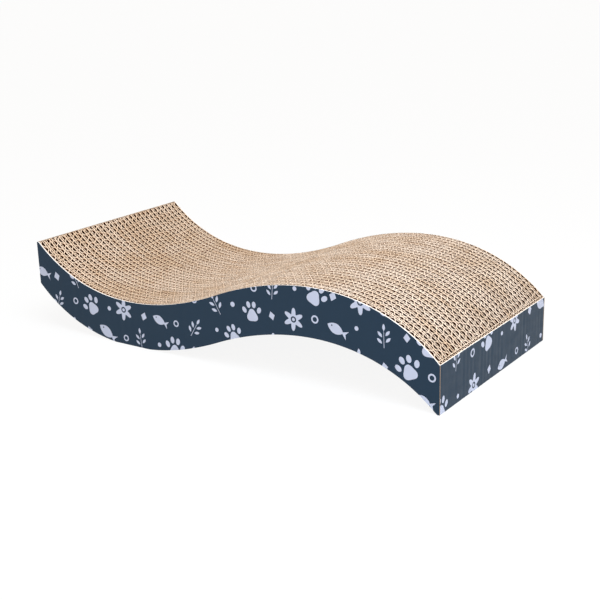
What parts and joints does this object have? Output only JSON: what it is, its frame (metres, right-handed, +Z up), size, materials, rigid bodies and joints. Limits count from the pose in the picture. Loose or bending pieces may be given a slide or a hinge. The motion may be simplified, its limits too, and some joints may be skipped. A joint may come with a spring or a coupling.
{
  "type": "cat scratcher",
  "caption": "S-wave floor scratcher for cats: corrugated board strips glued on edge give an open-fluted scratching face above and below, with printed card round the sides and ends.",
  "frame": {"origin": "on the floor under the middle of the object's box", "axes": "+X along the wave to the end that comes down to the floor, +Y to the back, +Z up"},
  "size_m": [0.432, 0.201, 0.0855],
  "materials": {
    "kraft_board": "raw brown kraft corrugated board, matt, with its cut flutes open on the upper and lower faces",
    "printed_card": "white card printed dark slate blue with a pale lilac all-over pattern, satin film, white cut edges"
  },
  "bodies": {
    "root": {"corrugated_strip_01": "kraft_board", "corrugated_strip_02": "kraft_board", "corrugated_strip_03": "kraft_board", "corrugated_strip_04": "kraft_board", "corrugated_strip_05": "kraft_board", "corrugated_strip_06": "kraft_board", "corrugated_strip_07": "kraft_board", "corrugated_strip_08": "kraft_board", "corrugated_strip_09": "kraft_board", "corrugated_strip_10": "kraft_board", "corrugated_strip_11": "kraft_board", "corrugated_strip_12": "kraft_board", "corrugated_strip_13": "kraft_board", "corrugated_strip_14": "kraft_board", "corrugated_strip_15": "kraft_board", "corrugated_strip_16": "kraft_board", "corrugated_strip_17": "kraft_board", "corrugated_strip_18": "kraft_board", "corrugated_strip_19": "kraft_board", "corrugated_strip_20": "kraft_board", "corrugated_strip_21": "kraft_board", "corrugated_strip_22": "kraft_board", "corrugated_strip_23": "kraft_board", "corrugated_strip_24": "kraft_board", "corrugated_strip_25": "kraft_board", "corrugated_strip_26": "kraft_board", "corrugated_strip_27": "kraft_board", "corrugated_strip_28": "kraft_board", "corrugated_strip_29": "kraft_board", "corrugated_strip_30": "kraft_board", "corrugated_strip_31": "kraft_board", "front_side_sheet": "printed_card", "back_side_sheet": "printed_card", "left_end_cover": "printed_card", "right_end_cover": "printed_card"}
  },
  "joints": []
}
